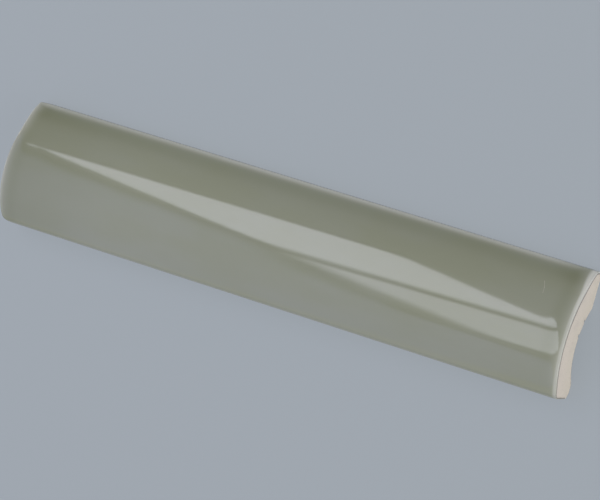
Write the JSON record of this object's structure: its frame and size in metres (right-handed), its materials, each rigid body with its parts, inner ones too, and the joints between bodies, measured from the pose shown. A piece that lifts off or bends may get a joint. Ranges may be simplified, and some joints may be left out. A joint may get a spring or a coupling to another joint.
{
  "type": "bullnose tile",
  "caption": "Long glazed ceramic trim tile with a convex front, a thick edge and a thin rounded edge, and a hollow back that keys into adhesive.",
  "frame": {"origin": "centre of the tile's back, on the plane of the two back lands", "axes": "+X along the tile, +Y across it towards the thin upper edge, +Z out of the glazed face; the tile lies on its back"},
  "size_m": [0.15, 0.03, 0.0121],
  "materials": {
    "glaze": "gloss",
    "bisque": "matte"
  },
  "bodies": {
    "root": {"bullnose_tile": "glaze"}
  },
  "joints": []
}
